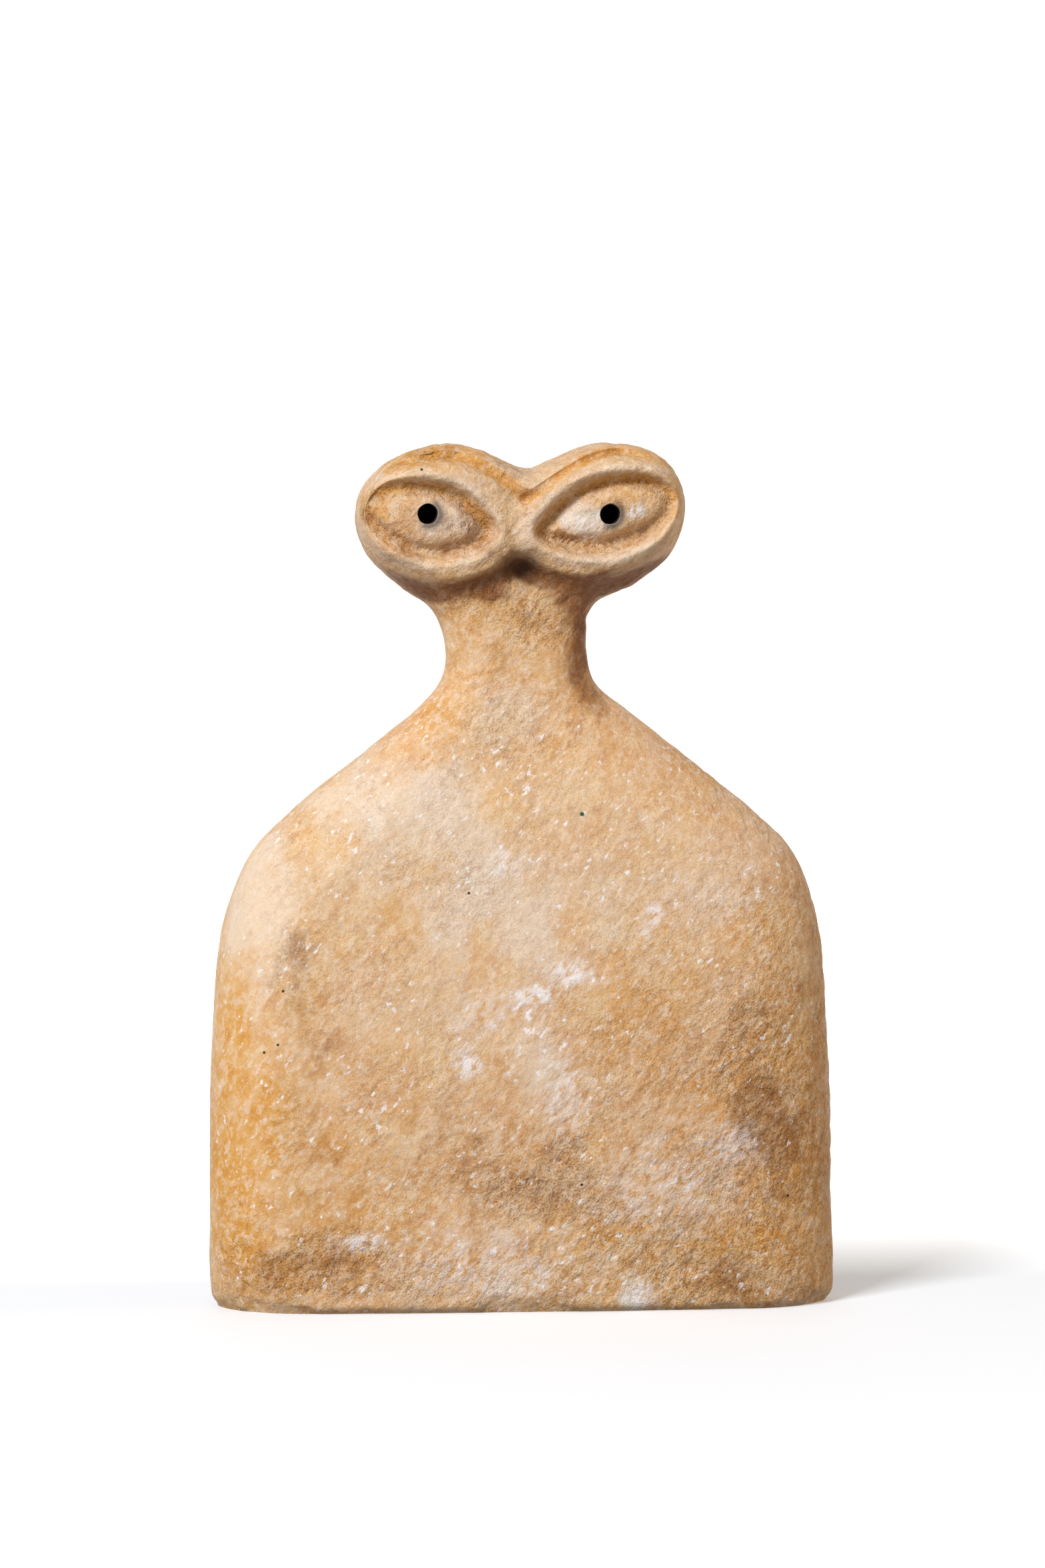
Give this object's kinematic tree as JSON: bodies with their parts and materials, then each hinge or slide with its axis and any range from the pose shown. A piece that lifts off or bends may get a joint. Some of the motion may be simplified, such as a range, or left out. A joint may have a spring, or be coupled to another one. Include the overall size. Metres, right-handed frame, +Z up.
{
  "type": "eye idol",
  "caption": "Flat, round-shouldered stone idol with a short neck and two large carved eyes with drilled pupils, standing on its flat base.",
  "frame": {"origin": "middle of the flat base, on the surface that the idol stands on", "axes": "+Z up the figure, the carved eyes look along -Y, +X to the right seen from the front"},
  "size_m": [0.0476, 0.0132, 0.065],
  "materials": {
    "alabaster": "weathered, softly translucent, satin"
  },
  "bodies": {
    "root": {"idol": "alabaster"}
  },
  "joints": []
}
